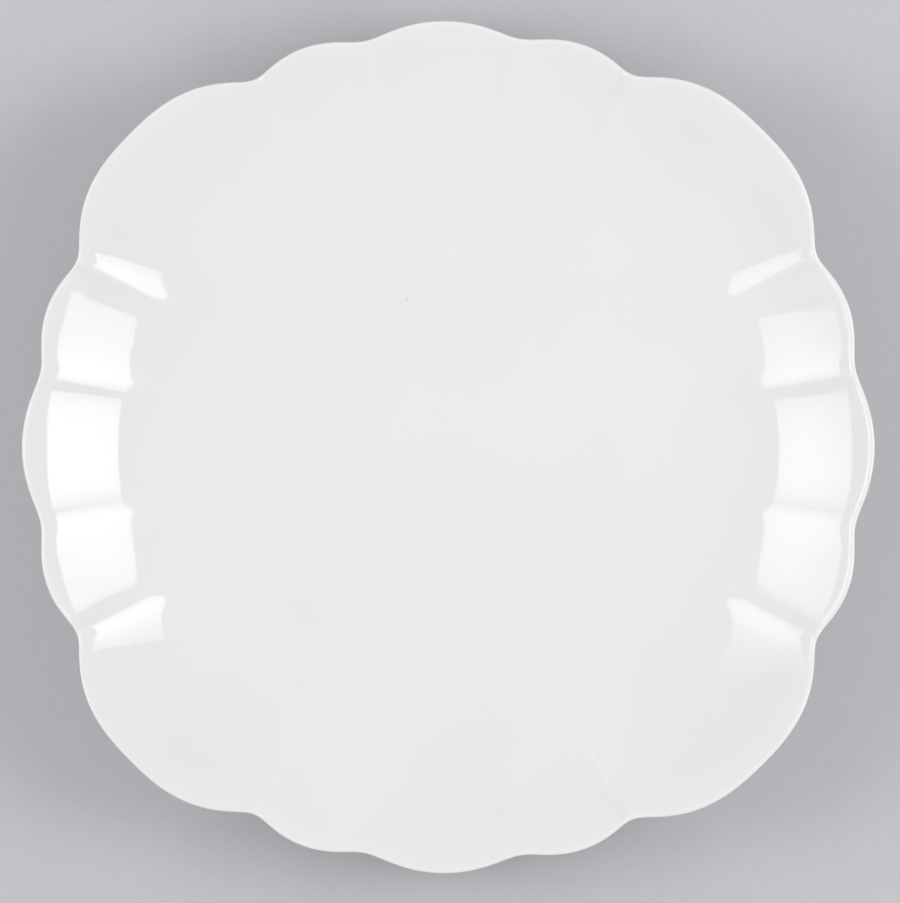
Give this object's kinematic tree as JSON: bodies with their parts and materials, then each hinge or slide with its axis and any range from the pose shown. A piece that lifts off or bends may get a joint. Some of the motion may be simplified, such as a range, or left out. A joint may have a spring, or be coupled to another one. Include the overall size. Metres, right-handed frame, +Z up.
{
  "type": "square salad plate",
  "caption": "Square salad plate in white glazed porcelain, with a scalloped rim, ridges that run in from its notches, a flat round well and a bare foot ring.",
  "frame": {"origin": "centre of the plate, on the table that its foot ring stands on", "axes": "+Z up out of the dish; +X and +Y through the middles of two neighbouring sides"},
  "size_m": [0.206, 0.206, 0.0284],
  "materials": {
    "biscuit_porcelain": "matte fired porcelain, bare on the foot ring",
    "gloss_glaze": "clear gloss glaze over white porcelain"
  },
  "bodies": {
    "root": {"porcelain_body": "biscuit_porcelain", "glaze_coat": "gloss_glaze", "base_glaze": "gloss_glaze"}
  },
  "joints": []
}
